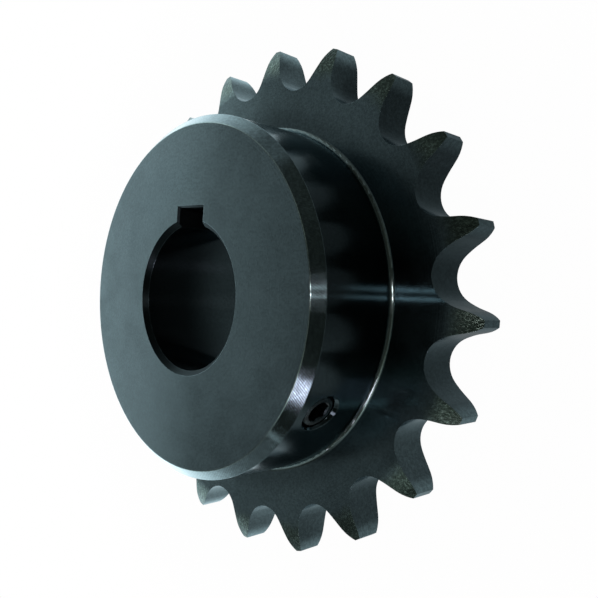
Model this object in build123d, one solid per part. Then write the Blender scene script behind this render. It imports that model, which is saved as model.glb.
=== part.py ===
"""Finished-bore roller-chain sprocket with a hub on one side, in millimetres.

The toothed plate and the hub are turned from one piece of steel. The back of the
plate lies on z = 0, the hub rises along +Z, the bore runs along Z through the
origin, and the keyway faces +Y with one tooth centred over it. Two socket set
screws sit in tapped holes in the hub, one over the keyway and one beside it.
Screws and tapped holes are modelled at the mean diameter of their thread.
"""
import os
from math import atan2, cos, degrees, hypot, pi, radians, sin, tan

from build123d import *

# Chain that the teeth take
CHAIN_PITCH = 15.875
ROLLER_DIAMETER = 10.16
TOOTH_COUNT = 20

# Toothed plate
PLATE_THICKNESS = 8.4
BEVEL_DEPTH = 6.5
BEVEL_WIDTH = 1.6

# Hub
HUB_DIAMETER = 74.0
OVERALL_LENGTH = 28.0
HUB_CHAMFER = 2.0
HUB_EDGE_RADIUS = 0.3
HUB_FILLET = 0.8

# Bore and keyway
BORE_DIAMETER = 30.0
BORE_CHAMFER = 1.0
KEYWAY_WIDTH = 8.0
KEYWAY_DEPTH = 3.3
KEYWAY_CHAMFER = 0.4

# Set screws and their tapped holes
THREAD_SIZE = 8.0
THREAD_PITCH = 1.25
THREAD_CLEARANCE = 0.05
SCREW_LENGTH = 16.0
SCREW_RECESS = 0.6
SCREW_FROM_HUB_FACE = 8.0
SIDE_SCREW_ANGLE = 120.0
SOCKET_ACROSS_FLATS = 4.0
SOCKET_DEPTH = 5.0
SOCKET_CHAMFER = 0.4
SCREW_TOP_CHAMFER = 0.5
POINT_CHAMFER = 1.0
CUP_DIAMETER = 4.6
CUP_ANGLE = 120.0
COUNTERSINK_DIAMETER = 8.5

# Share of its pitch by which a metric thread's mean diameter is under its size
THREAD_MEAN_SHARE = 0.6495

# Room by which a cutting shape runs past the surface that it opens
CUT_MARGIN = 1.0

pitch_angle = 2 * pi / TOOTH_COUNT
pitch_radius = CHAIN_PITCH / 2 / sin(pitch_angle / 2)
tip_radius = CHAIN_PITCH / 2 * (0.6 + 1 / tan(pitch_angle / 2))
bore_radius = BORE_DIAMETER / 2
hub_radius = HUB_DIAMETER / 2
thread_mean_radius = (THREAD_SIZE - THREAD_MEAN_SHARE * THREAD_PITCH) / 2
hole_radius = thread_mean_radius + THREAD_CLEARANCE
screw_height = OVERALL_LENGTH - SCREW_FROM_HUB_FACE


def polar(centre, radius, angle):
    """Point at an angle in radians on a circle in the XY plane."""
    return (centre[0] + radius * cos(angle), centre[1] + radius * sin(angle))


def arc(centre, radius, start, end):
    """Circular arc in the XY plane between two angles in radians."""
    points = [polar(centre, radius, angle) for angle in (start, (start + end) / 2, end)]
    return ThreePointArc(*points)


def turned_blank():
    """Plate with rounded tooth bevels, hub with its chamfer and fillet, and the bore."""

    def at(radius, height):
        return (radius, 0, height)

    bevel_start = tip_radius - BEVEL_DEPTH
    chamfered_bore = bore_radius + BORE_CHAMFER
    face_edge = at(hub_radius - HUB_CHAMFER, OVERALL_LENGTH)
    outline = [
        Line(at(chamfered_bore, 0), at(bevel_start, 0)),
        TangentArc(at(bevel_start, 0), at(tip_radius, BEVEL_WIDTH), tangent=(1, 0, 0)),
        Line(at(tip_radius, BEVEL_WIDTH), at(tip_radius, PLATE_THICKNESS - BEVEL_WIDTH)),
        TangentArc(
            at(bevel_start, PLATE_THICKNESS),
            at(tip_radius, PLATE_THICKNESS - BEVEL_WIDTH),
            tangent=(1, 0, 0),
        ),
        Line(at(bevel_start, PLATE_THICKNESS), at(hub_radius + HUB_FILLET, PLATE_THICKNESS)),
        TangentArc(
            at(hub_radius + HUB_FILLET, PLATE_THICKNESS),
            at(hub_radius, PLATE_THICKNESS + HUB_FILLET),
            tangent=(-1, 0, 0),
        ),
        Polyline(
            at(hub_radius, PLATE_THICKNESS + HUB_FILLET),
            at(hub_radius, OVERALL_LENGTH - HUB_CHAMFER),
            face_edge,
            at(chamfered_bore, OVERALL_LENGTH),
            at(bore_radius, OVERALL_LENGTH - BORE_CHAMFER),
            at(bore_radius, BORE_CHAMFER),
            at(chamfered_bore, 0),
        ),
    ]
    corner = make_face(outline).vertices().sort_by_distance(face_edge)[0]
    return revolve(fillet(corner, HUB_EDGE_RADIUS), Axis.Z)


def tooth_gap():
    """Cutter for one gap, standing over +Y, with the standard form for roller chain.

    The roller seats on a round arc. Each flank rises from it by a hollow working
    arc and a short straight, and a crowned topping arc rounds it off to the tip.
    The angles and the shares of the roller's diameter are those of the standard.
    """
    seat_half = radians(35 + 60 / TOOTH_COUNT)
    working_sweep = radians(18 - 56 / TOOTH_COUNT)
    topping_angle = radians(17 - 64 / TOOTH_COUNT)
    seat_radius = 0.5025 * ROLLER_DIAMETER + 0.0381
    working_offset = 0.8 * ROLLER_DIAMETER
    topping_offset = 1.4 * ROLLER_DIAMETER
    working_radius = seat_radius + working_offset
    roller = (0, pitch_radius)

    working_centre = polar(roller, working_offset, pi - seat_half)
    topping_centre = polar(roller, topping_offset, -pitch_angle / 2)
    flank_angle = working_sweep - seat_half
    straight = topping_offset * sin(topping_angle) - working_offset * sin(working_sweep)
    straight_start = polar(working_centre, working_radius, flank_angle)
    straight_end = polar(straight_start, straight, flank_angle + pi / 2)
    topping_x = straight_end[0] - topping_centre[0]
    topping_y = straight_end[1] - topping_centre[1]
    topping_radius = hypot(topping_x, topping_y)
    topping_start = atan2(topping_y, topping_x)
    # The topping arc runs on outside the rim, so that the rim alone ends each tooth
    topping_end = radians(100)
    shoulder = polar(topping_centre, topping_radius, topping_end)
    lid = max(tip_radius, shoulder[1]) + CUT_MARGIN

    flank = [
        arc(working_centre, working_radius, -seat_half, flank_angle),
        Line(straight_start, straight_end),
        arc(topping_centre, topping_radius, topping_start, topping_end),
        Line(shoulder, (shoulder[0], lid)),
    ]
    seat = arc(roller, seat_radius, seat_half - pi, -seat_half)
    roof = Line((shoulder[0], lid), (-shoulder[0], lid))
    outline = [seat, *flank, *[mirror(edge, Plane.YZ) for edge in flank], roof]
    height = PLATE_THICKNESS + 2 * CUT_MARGIN
    return Pos(0, 0, -CUT_MARGIN) * extrude(make_face(outline), height)


def tooth_gaps():
    """All gaps round the rim, placed so that a tooth is centred over the keyway."""
    gap = tooth_gap()
    return [Rot(0, 0, degrees(pitch_angle) * (k + 0.5)) * gap for k in range(TOOTH_COUNT)]


def keyway():
    """Slot along the whole bore, flat at its top, with its edges broken at both ends."""
    top = bore_radius + KEYWAY_DEPTH
    profile = Pos(0, top / 2) * Rectangle(KEYWAY_WIDTH, top)
    slot = Pos(0, 0, -CUT_MARGIN) * extrude(profile, OVERALL_LENGTH + 2 * CUT_MARGIN)
    flare = extrude(profile, KEYWAY_CHAMFER + CUT_MARGIN, taper=-45)
    front = Pos(0, 0, OVERALL_LENGTH - KEYWAY_CHAMFER) * flare
    back = mirror(front, Plane.XY.offset(OVERALL_LENGTH / 2))
    return slot + front + back


def radial(shape, angle, radius):
    """Turn a shape that stands along +Z to point outward, clockwise from the keyway."""
    return Rot(0, 0, -angle) * Pos(0, radius, screw_height) * Rot(-90, 0, 0) * shape


def tapped_hole():
    """Hole from the bore out through the hub wall, with a countersink at its mouth."""
    sink_radius = COUNTERSINK_DIAMETER / 2
    reach = hub_radius + CUT_MARGIN
    section = Polyline(
        (0, 0, 0),
        (hole_radius, 0, 0),
        (hole_radius, 0, hub_radius - (sink_radius - hole_radius)),
        (sink_radius, 0, hub_radius),
        (sink_radius, 0, reach),
        (0, 0, reach),
        close=True,
    )
    return revolve(make_face(section), Axis.Z)


def set_screw():
    """Socket set screw with a cup point, standing on its point at z = 0."""
    cup_radius = CUP_DIAMETER / 2
    cup_depth = cup_radius / tan(radians(CUP_ANGLE / 2))
    section = Polyline(
        (0, 0, cup_depth),
        (cup_radius, 0, 0),
        (thread_mean_radius - POINT_CHAMFER, 0, 0),
        (thread_mean_radius, 0, POINT_CHAMFER),
        (thread_mean_radius, 0, SCREW_LENGTH - SCREW_TOP_CHAMFER),
        (thread_mean_radius - SCREW_TOP_CHAMFER, 0, SCREW_LENGTH),
        (0, 0, SCREW_LENGTH),
        close=True,
    )
    top = Plane.XY.offset(SCREW_LENGTH)
    hexagon = RegularPolygon(SOCKET_ACROSS_FLATS / 2, 6, major_radius=False)
    socket = extrude(top * hexagon, -SOCKET_DEPTH)
    corner_radius = SOCKET_ACROSS_FLATS / 2 / cos(pi / 6)
    lead_in = Pos(0, 0, SCREW_LENGTH - SOCKET_CHAMFER) * Cone(
        corner_radius - SOCKET_CHAMFER,
        corner_radius,
        SOCKET_CHAMFER,
        align=(Align.CENTER, Align.CENTER, Align.MIN),
    )
    return revolve(make_face(section), Axis.Z) - socket - lead_in


def sprocket_body():
    """Plate, teeth and hub in one piece, with the bore, keyway and tapped holes."""
    holes = [radial(tapped_hole(), angle, 0) for angle in (0, SIDE_SCREW_ANGLE)]
    return turned_blank() - tooth_gaps() - keyway() - holes


def seated_screw(angle):
    """Set screw in its tapped hole, its socket end just below the hub's surface."""
    return radial(set_screw(), angle, hub_radius - SCREW_RECESS - SCREW_LENGTH)


nodes = {
    "sprocket_body": sprocket_body(),
    "set_screw_key": seated_screw(0),
    "set_screw_side": seated_screw(SIDE_SCREW_ANGLE),
}

os.makedirs("parts", exist_ok=True)
for name, shape in nodes.items():
    export_step(shape, f"parts/{name}.step")
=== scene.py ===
"""Looks of a black-oxide chain sprocket: finishes, threads, studio and camera, in metres."""

from math import cos, pi, radians, sin

import bpy
from mathutils import Matrix, Vector


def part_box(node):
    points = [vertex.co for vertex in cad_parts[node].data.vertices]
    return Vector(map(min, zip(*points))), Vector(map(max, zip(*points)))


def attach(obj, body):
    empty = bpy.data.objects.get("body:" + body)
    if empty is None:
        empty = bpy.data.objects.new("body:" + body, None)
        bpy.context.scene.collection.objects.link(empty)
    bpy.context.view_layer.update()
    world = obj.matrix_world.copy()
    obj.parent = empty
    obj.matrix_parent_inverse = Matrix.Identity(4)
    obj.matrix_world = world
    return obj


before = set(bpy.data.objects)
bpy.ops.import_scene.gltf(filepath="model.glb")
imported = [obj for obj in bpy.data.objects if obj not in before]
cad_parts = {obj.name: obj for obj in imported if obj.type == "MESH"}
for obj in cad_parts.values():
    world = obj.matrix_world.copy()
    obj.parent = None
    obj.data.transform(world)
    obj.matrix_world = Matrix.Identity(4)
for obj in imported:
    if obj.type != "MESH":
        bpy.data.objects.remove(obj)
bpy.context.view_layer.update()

MM = 0.001

# Sizes of the body that its finish follows
HUB_RADIUS = 37.0 * MM
HUB_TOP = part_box("sprocket_body")[1].z
CHAMFER = 2.0 * MM
HUB_FILLET = 0.8 * MM
PLATE_TOP = 8.4 * MM
TEETH_START = 43.0 * MM
BEVEL_START = 48.3 * MM
BORE_RADIUS = 15.0 * MM
KEYWAY_TOP = 18.3 * MM

# Space that holds the keyway with its broken edges
KEYWAY_HALF_WIDTH = 4.5 * MM
KEYWAY_START = 13.0 * MM
KEYWAY_REACH = 19.2 * MM

# Distance over which a narrow surface's look gives way to its neighbours'
SOFT = 0.05 * MM

# Tapped holes, and where the screws' points end in them
SCREW_HEIGHT = HUB_TOP - 8.0 * MM
SCREW_ANGLES = {"key": radians(90), "side": radians(-30)}
SCREW_INNER_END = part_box("set_screw_key")[0].y
HOLE_RADIUS = 3.644 * MM

# Thread ridge: its form, its steps in a turn, its fade at each end, its room to the screw,
# and how far inside the bore's wall and the keyway's top it starts
THREAD_PITCH = 1.25 * MM
THREAD_CREST_RADIUS = 3.34 * MM
THREAD_ROOT_DEPTH = 0.02 * MM
THREAD_HALF_WIDTH = 0.42 * THREAD_PITCH
THREAD_CREST_SHARE = 0.15
THREAD_STEPS = 48
THREAD_FADE_TURNS = 0.2
THREAD_GAP = 0.1 * MM
THREAD_SIDE_INSET = 0.5 * MM
THREAD_KEY_INSET = 0.3 * MM

# Fine slanting marks that the tool left on the chamfer: pitch along the rim, slant across it
CHATTER_PITCH = 0.52 * MM
CHATTER_SLANT = 1.09

# Colours of black oxide, of its scale on the tooth bevels, of worn rims and of the junction
# fillet's painted highlight, and at grazing angles
OXIDE_TINT = (0.60, 0.92, 1.0)
OLIVE_TINT = (0.66, 1.0, 0.86)
WORN_RIM_AND_PAINTED_JUNCTION_TINT = (0.68, 0.96, 0.94)
OXIDE_EDGE_TINT = (0.82, 0.95, 1.0, 1)

# How much of the light each surface sends back when seen straight on
SIDE_SHINE = 0.024
FACE_SHINE = 0.049
CHAMFER_SHINE = 0.068
RIM_SHINE = 0.14
# The junction fillet's shine is a painted highlight, strongest near y = 0 and fading towards +Y.
JUNCTION_PAINTED_HIGHLIGHT_SHINE = 0.13
JUNCTION_PAINTED_HIGHLIGHT_FAR_SHINE = 0.0585
# The bore's shine is painted light near its foot and painted shade towards its mouth.
BORE_FOOT_PAINTED_LIGHT_SHINE = 0.085
BORE_MOUTH_PAINTED_SHADE_SHINE = 0.014
# The bore's chamfers are dulled with painted shade that hides their highlight.
LEAD_PAINTED_SHADE_SHINE = 0.014
# The keyway is dulled with painted shade in its recess.
KEYWAY_PAINTED_SHADE_SHINE = 0.014
# A painted highlight brightens the plate in a streak near y = 0.
PLATE_PAINTED_STREAK_SHINE = 0.1144
PLATE_INNER_SHINE = 0.06336
PLATE_OUTER_SHINE = 0.08624
FLANK_SHINE = 0.045
# Tooth flanks brighten towards their tips as a painted reflection.
FLANK_TIP_PAINTED_LIGHT_SHINE = 0.135
BEVEL_SHINE = 0.056
# Tooth bevels darken towards their tips as painted shade that mutes their glints.
BEVEL_TIP_PAINTED_SHADE_SHINE = 0.0448
WORN_SHINE = 0.13

# Set screws where rubbed and elsewhere, and cut thread where bright and where dull
SCREW_RUBBED_SHINE = 0.09
SCREW_SHINE = 0.022
THREAD_BRIGHT_SHINE = 0.075
THREAD_DULL_SHINE = 0.04

# Roughness of each surface
SIDE_ROUGHNESS = 0.14
ROUGHNESS = {
    "face": 0.20,
    "chamfer": 0.16,
    "junction": 0.16,
    "bore": 0.24,
    "lead": 0.50,
    "plate": 0.13,
    "flank": 0.17,
    "bevel": 0.22,
}

# Size of each kind of unevenness in the oxide, from the broadest to the finest
BLOTCH_SIZE = 9.0 * MM
DRIFT_SIZE = 5.0 * MM
RAGGED_SIZE = 2.0 * MM
WEAR_SIZE = 1.2 * MM
MOTTLE_SIZE = 0.8 * MM
SCALE_SIZE = 0.6 * MM
SPECKLE_SIZE = 0.55 * MM
RING_SIZE = 0.5 * MM
GRAIN_SIZE = 0.45 * MM
GROOVE_SIZE = 0.28 * MM

# How far the bevels' ragged limit wanders, and how deep grooves, chatter and scale are
RAGGED_REACH = 3.0 * MM
GROOVE_DEPTH = 0.006 * MM
CHATTER_SHARE = 0.3
SCALE_DEPTH = 0.05 * MM

# Radius that edges seem to have on the turned body and on the teeth
EDGE_RADIUS = 0.15 * MM
TOOTH_EDGE_RADIUS = 0.04 * MM
EDGE_SAMPLES = 6

# Turn of a highlight from along the turning marks to across them, as a share of a full turn
ACROSS_MARKS = 0.25

# Floor and studio
FLOOR_REACH = 6.0
PAPER_COLOUR = (0.6, 0.6, 0.6, 1)
WHITE = (1, 1, 1, 1)
FRONT_WALL_TINT = (1, 0.99, 0.87, 1)
LAMP_DISTANCE = 1.2
BOX_TINT = (1.0, 0.76, 0.9)
STRIP_TINT = (1.2, 1.0, 1.03)

# Camera, fitted to the photograph
CAMERA_PLACE = Vector((109.98, 5.465, 107.65)) * MM
CAMERA_AIM = Vector((10.40, -3.32, 14.0)) * MM
CAMERA_ROLL = radians(-3.91)
CAMERA_LENS = 39.76
SENSOR_WIDTH = 36.0
CAMERA_SHIFT = (0.0508, 0.0332)
CLIP_START = 0.005


class Graph:
    """A material's or world's node tree, with short ways to add and wire nodes."""

    def __init__(self, tree):
        self.tree = tree
        tree.nodes.clear()

    def node(self, kind, **settings):
        """New node with its settings."""
        made = self.tree.nodes.new(kind)
        for name, value in settings.items():
            setattr(made, name, value)
        return made

    def feed(self, socket, value):
        """Wire another node's output to a socket, or set the socket to a plain value."""
        if isinstance(value, bpy.types.NodeSocket):
            self.tree.links.new(value, socket)
        else:
            socket.default_value = value

    def math(self, operation, *values):
        """Result of a Math node on one or two numbers."""
        made = self.node("ShaderNodeMath", operation=operation)
        for socket, value in zip(made.inputs, values):
            self.feed(socket, value)
        return made.outputs[0]

    def times(self, *values):
        """Product of numbers."""
        product = values[0]
        for value in values[1:]:
            product = self.math("MULTIPLY", product, value)
        return product

    def plus(self, *values):
        """Sum of numbers."""
        total = values[0]
        for value in values[1:]:
            total = self.math("ADD", total, value)
        return total

    def invert(self, mask):
        """One where the mask is zero, and zero where it is one."""
        return self.math("SUBTRACT", 1.0, mask)

    def absolute(self, value):
        """Number without its sign."""
        return self.math("ABSOLUTE", value)

    def radius(self, x, y):
        """Distance from the Z axis."""
        return self.math("SQRT", self.plus(self.times(x, x), self.times(y, y)))

    def ramp(self, value, start, end, low=0.0, high=1.0):
        """Smooth step from low to high while value goes from start to end."""
        made = self.node("ShaderNodeMapRange", interpolation_type="SMOOTHSTEP")
        self.feed(made.inputs["Value"], value)
        self.feed(made.inputs["From Min"], start)
        self.feed(made.inputs["From Max"], end)
        self.feed(made.inputs["To Min"], low)
        self.feed(made.inputs["To Max"], high)
        return made.outputs[0]

    def band(self, value, start, end, soft):
        """One between start and end, zero outside."""
        rise = self.ramp(value, start - soft, start + soft)
        fall = self.ramp(value, end - soft, end + soft, 1.0, 0.0)
        return self.times(rise, fall)

    def mix(self, kind, first, mask, value, other):
        """Mix node for one kind of data, whose two inputs start at the socket numbered first."""
        made = self.node("ShaderNodeMix", data_type=kind)
        self.feed(made.inputs[0], mask)
        self.feed(made.inputs[first], other)
        self.feed(made.inputs[first + 1], value)
        return made

    def pick(self, mask, number, other):
        """Number: the first where the mask is one, the other where it is zero."""
        return self.mix("FLOAT", 2, mask, number, other).outputs[0]

    def tint(self, mask, shade, other):
        """Colour: the first where the mask is one, the other where it is zero."""
        return self.mix("RGBA", 6, mask, shade, other).outputs[2]

    def cover(self, masks, numbers, ground):
        """The ground's number, covered in turn by the number of each masked surface."""
        for name, number in numbers.items():
            ground = self.pick(masks[name], number, ground)
        return ground

    def scale(self, vector, factor):
        """Vector or colour times a number."""
        made = self.node("ShaderNodeVectorMath", operation="SCALE")
        self.feed(made.inputs[0], vector)
        self.feed(made.inputs["Scale"], factor)
        return made.outputs[0]

    def dot(self, vector, other):
        """Cosine of the angle between two directions."""
        made = self.node("ShaderNodeVectorMath", operation="DOT_PRODUCT")
        self.feed(made.inputs[0], vector)
        self.feed(made.inputs[1], other)
        return made.outputs["Value"]

    def split(self, vector):
        """The three numbers of a vector."""
        made = self.node("ShaderNodeSeparateXYZ")
        self.feed(made.inputs[0], vector)
        return made.outputs

    def noise(self, vector, size, detail=3.0, roughness=0.5):
        """Noise around 0.5 whose lumps are about size across."""
        made = self.node("ShaderNodeTexNoise")
        self.feed(made.inputs["Vector"], vector)
        made.inputs["Scale"].default_value = 1 / size
        made.inputs["Detail"].default_value = detail
        made.inputs["Roughness"].default_value = roughness
        return made.outputs["Fac"]

    def rings(self, value, size):
        """Noise along one measure, such as the radius, as a cutting tool leaves it."""
        made = self.node("ShaderNodeTexNoise", noise_dimensions="1D")
        self.feed(made.inputs["W"], value)
        made.inputs["Scale"].default_value = 1 / size
        made.inputs["Detail"].default_value = 2.0
        return made.outputs["Fac"]

    def wander(self, noise, low, high):
        """Number that noise moves between low and high."""
        return self.ramp(noise, 0.3, 0.7, low, high)

    def bump(self, height, distance, normal=None):
        """Normal tilted by a height between zero and one, which stands for distance."""
        made = self.node("ShaderNodeBump")
        self.feed(made.inputs["Height"], height)
        made.inputs["Distance"].default_value = distance
        if normal is not None:
            self.feed(made.inputs["Normal"], normal)
        return made.outputs[0]


def new_material(name):
    """Empty material and its graph."""
    material = bpy.data.materials.new(name)
    material.use_nodes = True
    return material, Graph(material.node_tree)


def metal_shader(graph):
    """Metal shader that shows on the material's surface."""
    shader = graph.node("ShaderNodeBsdfPrincipled")
    shader.inputs["Metallic"].default_value = 1.0
    output = graph.node("ShaderNodeOutputMaterial")
    graph.feed(output.inputs["Surface"], shader.outputs[0])
    return shader


def colour(tint, shine=1.0):
    """Tint at a share of its strength, as a shader takes it."""
    return (tint[0] * shine, tint[1] * shine, tint[2] * shine, 1)


def body_measures(graph):
    """Where a point of the body lies and which way its surface faces, in the body's own space."""
    coordinates = graph.node("ShaderNodeTexCoord").outputs
    x, y, z = graph.split(coordinates["Object"])
    level = graph.absolute(graph.split(coordinates["Normal"])[2])
    return {
        "place": coordinates["Object"],
        "x": x,
        "y": y,
        "z": z,
        "radius": graph.radius(x, y),
        "angle": graph.math("ARCTAN2", y, x),
        "flat": graph.ramp(level, 0.9, 0.97),
        "rounded": graph.band(level, 0.74, 0.985, 0.02),
        "slanted": graph.band(level, 0.5, 0.93, 0.04),
        "upright": graph.ramp(level, 0.25, 0.4, 1.0, 0.0),
    }


def hub_masks(graph, at):
    """The hub's face, chamfer, rounded rim between them, turned side and foot on the plate."""
    face_edge = HUB_RADIUS - CHAMFER
    chamfer_foot = HUB_TOP - CHAMFER
    return {
        "face": graph.times(
            at["flat"],
            graph.ramp(at["z"], HUB_TOP - 0.3 * MM, HUB_TOP - 0.1 * MM),
        ),
        "chamfer": graph.times(
            at["slanted"],
            graph.ramp(at["radius"], face_edge - 0.3 * MM, face_edge),
            graph.ramp(at["z"], chamfer_foot - 0.3 * MM, chamfer_foot),
        ),
        "rim": graph.times(
            at["rounded"],
            graph.band(at["radius"], face_edge - 0.25 * MM, face_edge + 0.15 * MM, SOFT),
            graph.ramp(at["z"], HUB_TOP - 0.4 * MM, HUB_TOP - 0.3 * MM),
        ),
        "side": graph.times(
            at["upright"],
            graph.ramp(at["z"], PLATE_TOP + SOFT, PLATE_TOP + 4 * SOFT),
            graph.ramp(at["radius"], HUB_RADIUS - 4 * SOFT, HUB_RADIUS - SOFT),
        ),
        "junction": graph.times(
            graph.band(at["radius"], HUB_RADIUS - SOFT, HUB_RADIUS + HUB_FILLET, SOFT),
            graph.band(at["z"], PLATE_TOP, PLATE_TOP + HUB_FILLET, SOFT),
        ),
    }


def bore_masks(graph, at):
    """The bore with its keyway, the chamfers at its ends, and the keyway alone."""
    inside = graph.ramp(at["radius"], KEYWAY_REACH - 0.2 * MM, KEYWAY_REACH, 1.0, 0.0)
    bore = graph.times(inside, graph.invert(at["flat"]))
    return {
        "bore": bore,
        "lead": graph.times(inside, at["slanted"]),
        "keyway": graph.times(
            bore,
            graph.ramp(graph.absolute(at["x"]), KEYWAY_HALF_WIDTH + 0.1 * MM, KEYWAY_HALF_WIDTH),
            graph.ramp(at["y"], KEYWAY_START, KEYWAY_START + 0.5 * MM),
        ),
    }


def plate_masks(graph, at):
    """The plate's faces, the whole ring of teeth, the tooth flanks and the ragged tooth bevels."""
    teeth = graph.ramp(at["radius"], TEETH_START, TEETH_START + 0.5 * MM)
    uneven = graph.plus(graph.noise(at["place"], RAGGED_SIZE), -0.5)
    reach = graph.plus(at["radius"], graph.times(uneven, RAGGED_REACH))
    return {
        "plate": graph.times(
            at["flat"],
            graph.ramp(at["radius"], HUB_RADIUS, HUB_RADIUS + HUB_FILLET),
        ),
        "teeth": teeth,
        "flank": graph.times(at["upright"], teeth),
        "bevel": graph.times(
            graph.invert(at["upright"]),
            graph.ramp(reach, BEVEL_START - 0.6 * MM, BEVEL_START + 3.2 * MM),
        ),
    }


def chatter(graph, at):
    """Fine slanting marks that the tool left across the chamfer, between zero and one."""
    around = graph.times(at["angle"], HUB_RADIUS)
    slant = graph.plus(around, graph.times(at["z"], -CHATTER_SLANT))
    wave = graph.math("SINE", graph.times(slant, 2 * pi / CHATTER_PITCH))
    return graph.ramp(wave, -0.35, 0.35)


def oxide_shine(graph, at, masks):
    """How much light each surface sends back; on several it changes along the part as painted
    light and painted shade.
    """
    # Painted highlight: the plate shines more in a streak near y = 0.
    painted_streak = graph.ramp(
        graph.absolute(at["y"]), 4 * MM, 9 * MM, PLATE_PAINTED_STREAK_SHINE, PLATE_INNER_SHINE
    )
    shines = {
        "face": FACE_SHINE,
        "chamfer": CHAMFER_SHINE,
        "rim": RIM_SHINE,
        # Painted highlight on the junction fillet, fading towards +Y.
        "junction": graph.ramp(at["y"], 2 * MM, 18 * MM, JUNCTION_PAINTED_HIGHLIGHT_SHINE, JUNCTION_PAINTED_HIGHLIGHT_FAR_SHINE),
        # Painted light near the bore's foot, painted shade towards its mouth.
        "bore": graph.ramp(at["z"], 4 * MM, 18 * MM, BORE_FOOT_PAINTED_LIGHT_SHINE, BORE_MOUTH_PAINTED_SHADE_SHINE),
        # Painted shade dulls the bore's chamfers.
        "lead": LEAD_PAINTED_SHADE_SHINE,
        "plate": graph.ramp(at["radius"], 39 * MM, 43.5 * MM, painted_streak, PLATE_OUTER_SHINE),
        # Painted reflection brightens the flanks towards their tips.
        "flank": graph.ramp(at["radius"], 52 * MM, 54.6 * MM, FLANK_SHINE, FLANK_TIP_PAINTED_LIGHT_SHINE),
        # Painted shade dulls the bevels towards their tips.
        "bevel": graph.ramp(at["radius"], 50 * MM, 54.5 * MM, BEVEL_SHINE, BEVEL_TIP_PAINTED_SHADE_SHINE),
        # Painted shade dulls the keyway.
        "keyway": KEYWAY_PAINTED_SHADE_SHINE,
    }
    return graph.cover(masks, shines, SIDE_SHINE)


def oxide_pattern(graph, at, masks):
    """Factor on the shine: blotches, grain, turning rings, speckled bevels and chatter, whose
    contrast fades towards +Y as a painted highlight.
    """
    place = at["place"]
    blotch = graph.wander(graph.noise(place, BLOTCH_SIZE, 4.0, 0.6), 0.97, 1.03)
    grain = graph.wander(graph.noise(place, GRAIN_SIZE, 2.0, 0.7), 0.8, 1.2)
    turned = graph.wander(graph.rings(at["radius"], RING_SIZE), 0.985, 1.015)
    speckle = graph.ramp(graph.noise(place, SPECKLE_SIZE, 2.0, 0.8), 0.46, 0.68, 0.75, 1.8)
    mottle = graph.ramp(graph.noise(place, MOTTLE_SIZE, 2.0, 0.8), 0.4, 0.6, 0.86, 1.14)
    mottled = graph.math("MAXIMUM", masks["flank"], masks["chamfer"])
    spots = graph.pick(mottled, mottle, graph.pick(masks["bevel"], speckle, 1.0))
    # Painted highlight: the chatter's contrast fades towards +Y, so the marks stand out only where
    # the side lamp's highlight falls.
    marked_in_painted_highlight = graph.times(masks["chamfer"], graph.ramp(at["y"], 2 * MM, 14 * MM, 1.0, 0.25))
    marks = graph.pick(marked_in_painted_highlight, graph.ramp(chatter(graph, at), 0, 1, 0.68, 1.3), 1.0)
    return graph.times(blotch, grain, turned, spots, marks)


def oxide_colour(graph, at, masks, edge):
    """Colour that each surface sends back, brighter where its edges are worn and on the junction
    fillet's painted highlight.
    """
    shine = graph.times(oxide_shine(graph, at, masks), oxide_pattern(graph, at, masks))
    shine = graph.pick(edge, WORN_SHINE, shine)
    # The rim's tint is wear; on the junction fillet the same tint is a painted highlight.
    worn_rim_and_painted_junction = graph.math("MAXIMUM", masks["rim"], masks["junction"])
    base = graph.tint(masks["bevel"], colour(OLIVE_TINT), colour(OXIDE_TINT))
    base = graph.tint(worn_rim_and_painted_junction, colour(WORN_RIM_AND_PAINTED_JUNCTION_TINT), base)
    return graph.scale(base, shine)


def oxide_roughness(graph, at, masks):
    """Roughness of each surface, which drifts a little from place to place."""
    drift = graph.wander(graph.noise(at["place"], DRIFT_SIZE), -0.02, 0.02)
    return graph.plus(graph.cover(masks, ROUGHNESS, SIDE_ROUGHNESS), drift)


def oxide_bump(graph, at, masks, softened):
    """Rings on turned faces, chatter on the chamfer and scale on the bevels, over soft edges."""
    rings = graph.times(graph.rings(at["radius"], GROOVE_SIZE), at["flat"])
    grooves = graph.times(graph.rings(at["z"], GROOVE_SIZE), masks["side"])
    marks = graph.times(chatter(graph, at), masks["chamfer"], CHATTER_SHARE)
    turned = graph.bump(graph.plus(rings, grooves, marks), GROOVE_DEPTH, softened)
    lumps = graph.plus(graph.noise(at["place"], SCALE_SIZE, 3.0, 0.6), -0.5)
    return graph.bump(graph.times(lumps, masks["bevel"]), SCALE_DEPTH, turned)


def softened_edges(graph, masks):
    """Surface direction as if each sharp edge had a small radius."""
    softened = graph.node("ShaderNodeBevel", samples=EDGE_SAMPLES)
    radius = graph.pick(masks["teeth"], TOOTH_EDGE_RADIUS, EDGE_RADIUS)
    graph.feed(softened.inputs["Radius"], radius)
    return softened.outputs[0]


def worn_edges(graph, at, masks, softened):
    """Edges where the oxide has rubbed thin in patches, but not those of the keyway, which are
    kept dark as painted shade.
    """
    sharp = graph.node("ShaderNodeNewGeometry").outputs["Normal"]
    edge = graph.ramp(graph.dot(softened, sharp), 0.995, 0.93)
    patches = graph.ramp(graph.noise(at["place"], WEAR_SIZE), 0.35, 0.6, 0.4, 1.0)
    return graph.times(edge, patches, graph.invert(masks["keyway"]))


def turned_streaks(graph, shader):
    """Stretch highlights across the marks that turning leaves round the axis."""
    shader.inputs["Anisotropic"].default_value = 1.0
    shader.inputs["Anisotropic Rotation"].default_value = ACROSS_MARKS
    tangent = graph.node("ShaderNodeTangent", direction_type="RADIAL", axis="Z")
    graph.feed(shader.inputs["Tangent"], tangent.outputs[0])


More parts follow.
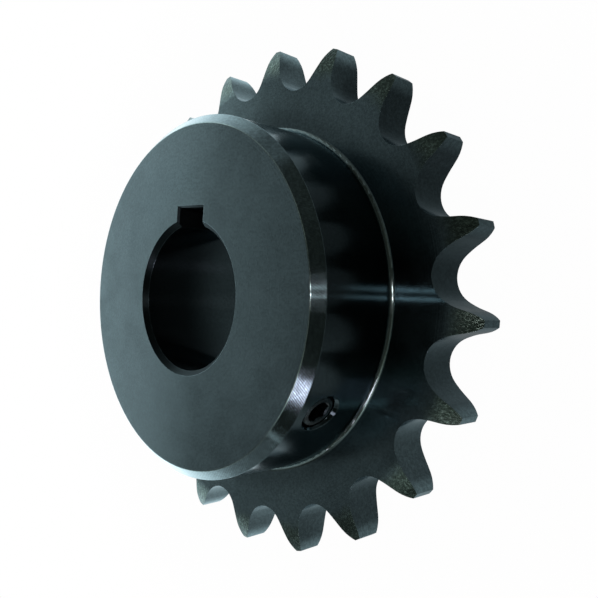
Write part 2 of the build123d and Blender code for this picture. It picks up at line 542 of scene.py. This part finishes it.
def black_oxide_material():
    """Black oxide over turned steel, one look for each machined surface of the body."""
    material, graph = new_material("black_oxide_turned_steel")
    at = body_measures(graph)
    masks = {**hub_masks(graph, at), **bore_masks(graph, at), **plate_masks(graph, at)}
    softened = softened_edges(graph, masks)
    edge = worn_edges(graph, at, masks, softened)
    shader = metal_shader(graph)
    turned_streaks(graph, shader)
    shader.inputs["Specular Tint"].default_value = OXIDE_EDGE_TINT
    graph.feed(shader.inputs["Base Color"], oxide_colour(graph, at, masks, edge))
    graph.feed(shader.inputs["Roughness"], oxide_roughness(graph, at, masks))
    graph.feed(shader.inputs["Normal"], oxide_bump(graph, at, masks, softened))
    return material


def screw_material():
    """Black oxide on the rolled and headed surfaces of a set screw, rubbed in patches."""
    material, graph = new_material("black_oxide_set_screw")
    place = graph.node("ShaderNodeTexCoord").outputs["Object"]
    rubbed = graph.ramp(graph.noise(place, 0.9 * MM, 4.0, 0.65), 0.52, 0.68)
    bright = colour(OXIDE_TINT, SCREW_RUBBED_SHINE)
    dull = colour(OXIDE_TINT, SCREW_SHINE)
    roughness = graph.wander(graph.noise(place, 0.5 * MM), 0.26, 0.4)
    scale = graph.bump(graph.noise(place, 0.4 * MM, 4.0), 0.05 * MM)
    shader = metal_shader(graph)
    graph.feed(shader.inputs["Base Color"], graph.tint(rubbed, bright, dull))
    graph.feed(shader.inputs["Roughness"], roughness)
    graph.feed(shader.inputs["Normal"], scale)
    return material


def thread_material():
    """Black oxide on cut thread flanks, with fine marks."""
    material, graph = new_material("black_oxide_cut_thread")
    place = graph.node("ShaderNodeTexCoord").outputs["Object"]
    shade = graph.wander(graph.noise(place, 0.8 * MM, 4.0, 0.6), 0.0, 1.0)
    bright = colour(OXIDE_TINT, THREAD_BRIGHT_SHINE)
    dull = colour(OXIDE_TINT, THREAD_DULL_SHINE)
    roughness = graph.wander(graph.noise(place, 0.6 * MM), 0.28, 0.42)
    marks = graph.bump(graph.noise(place, 0.2 * MM), 0.01 * MM)
    shader = metal_shader(graph)
    graph.feed(shader.inputs["Base Color"], graph.tint(shade, bright, dull))
    graph.feed(shader.inputs["Roughness"], roughness)
    graph.feed(shader.inputs["Normal"], marks)
    return material


def ridge_section(centre, ray, outward, fade):
    """Four corners of the ridge's section, from one foot over the crest to the other."""
    root = HOLE_RADIUS + THREAD_ROOT_DEPTH
    crest = root - (root - THREAD_CREST_RADIUS) * fade
    width = outward * (THREAD_HALF_WIDTH * fade + THREAD_ROOT_DEPTH)
    return [
        centre + ray * root - width,
        centre + ray * crest - width * THREAD_CREST_SHARE,
        centre + ray * crest + width * THREAD_CREST_SHARE,
        centre + ray * root + width,
    ]


def ridge_faces(count):
    """Faces round a strip of count pieces with four corners to a section, closed at its ends."""
    faces = [(0, 1, 2, 3)]
    for step in range(count):
        base = 4 * step
        for side in range(4):
            other = (side + 1) % 4
            faces.append((base + side, base + 4 + side, base + 4 + other, base + other))
    last = 4 * count
    faces.append((last + 3, last + 2, last + 1, last))
    return faces


def thread_ridge(name, angle, start, end, material):
    """Helical ridge on a tapped hole's wall between two distances from the bore axis.

    The ridge is a closed strip that fades in and out at its ends.
    """
    outward = Vector((cos(angle), sin(angle), 0))
    across = Vector((-sin(angle), cos(angle), 0))
    up = Vector((0, 0, 1))
    length = end - start - 2 * THREAD_HALF_WIDTH
    turns = length / THREAD_PITCH
    count = int(turns * THREAD_STEPS) + 1
    points = []
    for step in range(count + 1):
        share = step / count
        turn = share * turns * 2 * pi
        fade = min(1.0, min(share, 1 - share) * turns / THREAD_FADE_TURNS)
        ray = across * cos(turn) + up * sin(turn)
        along = start + THREAD_HALF_WIDTH + length * share
        centre = outward * along + up * SCREW_HEIGHT
        points.extend(ridge_section(centre, ray, outward, fade))
    mesh = bpy.data.meshes.new(name)
    mesh.from_pydata(points, [], ridge_faces(count))
    mesh.update()
    mesh.materials.append(material)
    ridge = bpy.data.objects.new(name, mesh)
    bpy.context.scene.collection.objects.link(ridge)
    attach(ridge, "root")


def threads(material):
    """Thread that shows in each tapped hole between the screw's point and the bore."""
    end = SCREW_INNER_END - THREAD_GAP
    side_start = BORE_RADIUS + THREAD_SIDE_INSET
    key_start = KEYWAY_TOP + THREAD_KEY_INSET
    thread_ridge("thread_bore_side", SCREW_ANGLES["side"], side_start, end, material)
    thread_ridge("thread_bore_key", SCREW_ANGLES["key"], key_start, end, material)


def painted_floor_in_steel(graph, x, y, radius):
    """Painted light and shade that the floor shows in the steel: painted shade near the teeth and
    under the bore, painted brighter patches nearby and the brightest further behind.
    """
    toward_light = graph.ramp(y, 5 * MM, -50 * MM, 0.28, 1.2)
    past_teeth = graph.ramp(y, 46 * MM, 54 * MM, 0.0, 0.5)
    shaded = graph.times(graph.ramp(y, -22 * MM, -34 * MM), graph.ramp(x, 14 * MM, 26 * MM))
    near = graph.times(graph.plus(toward_light, past_teeth), graph.pick(shaded, 0.6, 1.0))
    corners = graph.times(
        graph.plus(
            graph.ramp(y, 40 * MM, 50 * MM, 0.0, 0.9),
            graph.ramp(y, -40 * MM, -50 * MM, 0.0, 0.6),
        ),
        graph.ramp(x, 15 * MM, -10 * MM),
        graph.ramp(radius, 70 * MM, 85 * MM, 1.0, 0.0),
    )
    far = graph.times(
        graph.ramp(radius, 75 * MM, 105 * MM, 0.0, 2.4),
        graph.ramp(x, 0.0, -50 * MM),
    )
    # Painted shadow on the floor under the bore, seen only in reflections.
    bore_painted_shadow = graph.ramp(radius, BORE_RADIUS, BORE_RADIUS + 5 * MM, 0.87, 1.0)
    return graph.times(graph.plus(near, corners, far), bore_painted_shadow)


def floor_material():
    """White that the camera sees as plain paper and the steel sees as a floor glowing with painted
    light and shade.
    """
    material, graph = new_material("white_floor")
    path = graph.node("ShaderNodeLightPath").outputs
    reflected = graph.math("MAXIMUM", path["Is Glossy Ray"], path["Is Transmission Ray"])
    x, y, _ = graph.split(graph.node("ShaderNodeTexCoord").outputs["Object"])
    radius = graph.radius(x, y)
    white = graph.ramp(radius, 60 * MM, 120 * MM, 0.98, 1.0)
    share = graph.plus(graph.times(path["Is Camera Ray"], white), reflected)
    paper = graph.node("ShaderNodeBsdfDiffuse")
    paper.inputs["Color"].default_value = PAPER_COLOUR
    glow = graph.node("ShaderNodeEmission")
    # Reflections see the floor's painted light and shade in place of plain white.
    painted_mirrored_floor = painted_floor_in_steel(graph, x, y, radius)
    graph.feed(glow.inputs["Strength"], graph.pick(reflected, painted_mirrored_floor, 1.0))
    mixed = graph.node("ShaderNodeMixShader")
    graph.feed(mixed.inputs[0], share)
    graph.feed(mixed.inputs[1], paper.outputs[0])
    graph.feed(mixed.inputs[2], glow.outputs[0])
    output = graph.node("ShaderNodeOutputMaterial")
    graph.feed(output.inputs["Surface"], mixed.outputs[0])
    return material


def floor():
    """White floor that shows as plain white and keeps a faint shadow of the sprocket."""
    mesh = bpy.data.meshes.new("floor")
    low = -FLOOR_REACH
    high = FLOOR_REACH
    corners = [(low, low, 0), (high, low, 0), (high, high, 0), (low, high, 0)]
    mesh.from_pydata(corners, [], [(0, 1, 2, 3)])
    mesh.materials.append(floor_material())
    made = bpy.data.objects.new("floor", mesh)
    bpy.context.scene.collection.objects.link(made)


def back_wall(graph, x, y, z):
    """Light from behind the object: brightest low down, softer upwards and to the sides."""
    rise = graph.plus(x, z, graph.times(y, -0.13))
    low = graph.ramp(rise, -0.47, -0.08, 4.2, 0.5)
    lowest = graph.ramp(rise, -0.8, -0.55, 0.45, 1.0)
    high = graph.ramp(rise, 0.05, 0.3, 1.0, 0.32)
    middle = graph.ramp(graph.absolute(y), 0.5, 0.9, 1.0, 0.35)
    key_side = graph.times(graph.ramp(rise, -0.1, 0.1), graph.ramp(y, 0.3, 0.45, 0.0, 0.28))
    ends = graph.plus(
        graph.ramp(y, -0.7, -0.92, 0.0, 0.75),
        graph.ramp(y, 0.7, 0.9, 0.0, 0.4),
    )
    return graph.plus(graph.times(low, lowest, high, middle), key_side, ends)


def ceiling(graph, y, z):
    """Light from overhead, with a brighter panel at each side of its middle."""
    overhead = graph.times(
        graph.ramp(z, 0.86, 0.98, 0.0, 0.55),
        graph.ramp(y, -0.3, 0.3, 1.0, 0.25),
    )
    panels = graph.plus(
        graph.ramp(y, -0.25, -0.5, 0.0, 1.8),
        graph.ramp(y, 0.25, 0.45, 0.0, 0.6),
    )
    return graph.plus(overhead, graph.times(panels, graph.ramp(z, 0.7, 0.85)))


def studio_world():
    """Studio walls: bright behind the object, dark on the camera's side and soft overhead."""
    world = bpy.data.worlds.new("studio")
    world.use_nodes = True
    bpy.context.scene.world = world
    graph = Graph(world.node_tree)
    x, y, z = graph.split(graph.node("ShaderNodeTexCoord").outputs["Generated"])
    behind = graph.ramp(graph.plus(x, graph.times(y, 0.04)), 0.08, 0.05)
    front_wall = graph.ramp(y, 0.5, 0.8, 0.12, 0.2)
    walls = graph.pick(behind, back_wall(graph, x, y, z), front_wall)
    light = graph.math("MAXIMUM", walls, ceiling(graph, y, z))
    seen = graph.node("ShaderNodeLightPath").outputs["Is Camera Ray"]
    white = graph.math("MAXIMUM", behind, seen)
    background = graph.node("ShaderNodeBackground")
    graph.feed(background.inputs["Color"], graph.tint(white, WHITE, FRONT_WALL_TINT))
    graph.feed(background.inputs["Strength"], graph.pick(seen, 1.0, light))
    output = graph.node("ShaderNodeOutputWorld")
    graph.feed(output.inputs["Surface"], background.outputs[0])


def spot(around, up):
    """Direction at an angle round the Z axis from +X and an angle above the floor, in degrees."""
    level = cos(radians(up))
    return Vector((level * cos(radians(around)), level * sin(radians(around)), sin(radians(up))))


def lamp(name, low, high, width, strength, tint=(1.0, 1.0, 1.0)):
    """Soft lamp that stretches between two directions from the object and faces it.

    strength is how bright its surface is, where one is as bright as white paper shows.
    """
    data = bpy.data.lights.new(name, "AREA")
    data.shape = "RECTANGLE"
    length = (high - low).length * LAMP_DISTANCE
    data.size = width
    data.size_y = length
    data.energy = strength * width * length * pi
    data.color = tint
    made = bpy.data.objects.new(name, data)
    back = (low + high).normalized()
    along = (high - low).normalized()
    turn = Matrix((along.cross(back), along, back)).transposed()
    place = Vector((0, 0, HUB_TOP / 2)) + back * LAMP_DISTANCE
    made.matrix_world = Matrix.Translation(place) @ turn.to_4x4()
    bpy.context.scene.collection.objects.link(made)


def lamps():
    """Soft box on the -Y side, two tall strips over the camera and small lamps for edges.

    The faint lamps under the strips carry the strips' reflections on down the steel.
    """
    lamp("side_box", spot(-51.4, 27.5), spot(-51.4, 42), 0.235, 20.5, BOX_TINT)
    lamp("left_strip", spot(13.0, 54), spot(17.5, 66), 0.034, 48.0, STRIP_TINT)
    lamp("right_strip", spot(7.0, 54), spot(9.2, 66), 0.020, 86.0, STRIP_TINT)
    lamp("left_foot", spot(11.4, 38), spot(12.2, 48), 0.032, 4.4)
    lamp("right_foot", spot(6.0, 38), spot(6.4, 48), 0.022, 4.6)
    lamp("edge_box", spot(-68, 50), spot(-77, 53), 0.08, 12.0)
    lamp("edge_strip", spot(-80.5, 16), spot(-80.5, 30), 0.015, 12.0)


def camera():
    """Camera at the photograph's place and angle, with its framing kept by a small shift."""
    data = bpy.data.cameras.new("camera")
    data.lens = CAMERA_LENS
    data.sensor_width = SENSOR_WIDTH
    data.shift_x, data.shift_y = CAMERA_SHIFT
    data.clip_start = CLIP_START
    forward = (CAMERA_AIM - CAMERA_PLACE).normalized()
    level_right = forward.cross(Vector((0, 1, 0))).normalized()
    level_up = level_right.cross(forward)
    up = level_up * cos(CAMERA_ROLL) + level_right * sin(CAMERA_ROLL)
    right = forward.cross(up)
    turn = Matrix((right, up, -forward)).transposed()
    made = bpy.data.objects.new("camera", data)
    made.matrix_world = Matrix.Translation(CAMERA_PLACE) @ turn.to_4x4()
    bpy.context.scene.collection.objects.link(made)
    bpy.context.scene.camera = made


def dress_frame():
    """Give each CAD node its finish."""
    body = black_oxide_material()
    screw = screw_material()
    for name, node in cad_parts.items():
        for slot in node.material_slots:
            slot.material = body if name == "sprocket_body" else screw


dress_frame()
threads(thread_material())
floor()
studio_world()
lamps()
camera()

bpy.context.scene.view_settings.view_transform = "Standard"
bpy.context.view_layer.update()
